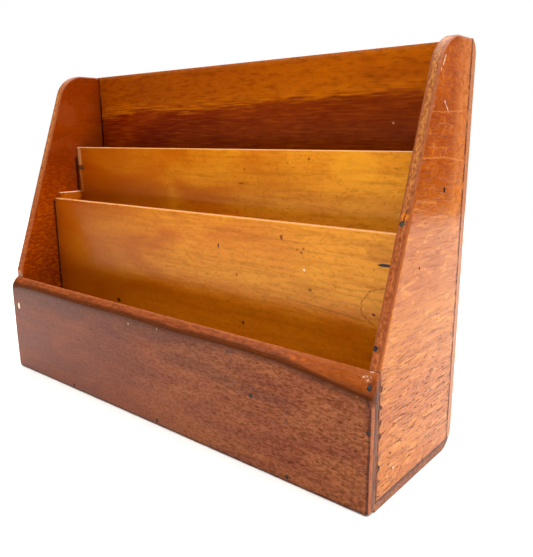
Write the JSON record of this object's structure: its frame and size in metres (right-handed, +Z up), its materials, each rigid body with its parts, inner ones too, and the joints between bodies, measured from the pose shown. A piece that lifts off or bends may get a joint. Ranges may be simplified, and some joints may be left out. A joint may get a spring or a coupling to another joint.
{
  "type": "letter rack",
  "caption": "Free-standing nailed wooden letter rack with stepped upright pockets, sloping sides with rounded shoulders and a low bevelled front board.",
  "frame": {"origin": "on the surface that the rack stands on, under the middle of its width and depth", "axes": "+X to the right as seen from the front, +Y to the back, +Z up"},
  "size_m": [0.26, 0.076, 0.183],
  "materials": {
    "side_wood": "polished oak, worn",
    "front_wood": "polished red-brown hardwood",
    "back_wood": "dark stained, polished",
    "base_wood": "thinly stained, dull",
    "divider_wood": "honey polished",
    "nail_iron": "dark and rusted"
  },
  "bodies": {
    "root": {"left_side": "side_wood", "right_side": "side_wood", "front_board": "front_wood", "back_board": "back_wood", "base_board": "base_wood", "front_divider": "divider_wood", "rear_divider": "divider_wood", "spacer_left": "divider_wood", "spacer_right": "divider_wood", "front_nails_left": "nail_iron", "front_nails_right": "nail_iron", "front_bottom_nails": "nail_iron", "base_nails_left": "nail_iron", "base_nails_right": "nail_iron", "back_nails_left": "nail_iron", "back_nails_right": "nail_iron", "front_divider_nails_left": "nail_iron", "front_divider_nails_right": "nail_iron", "rear_divider_nails_left": "nail_iron", "rear_divider_nails_right": "nail_iron", "spacer_pins_left": "nail_iron", "spacer_pins_right": "nail_iron", "side_edge_nails": "nail_iron"}
  },
  "joints": []
}
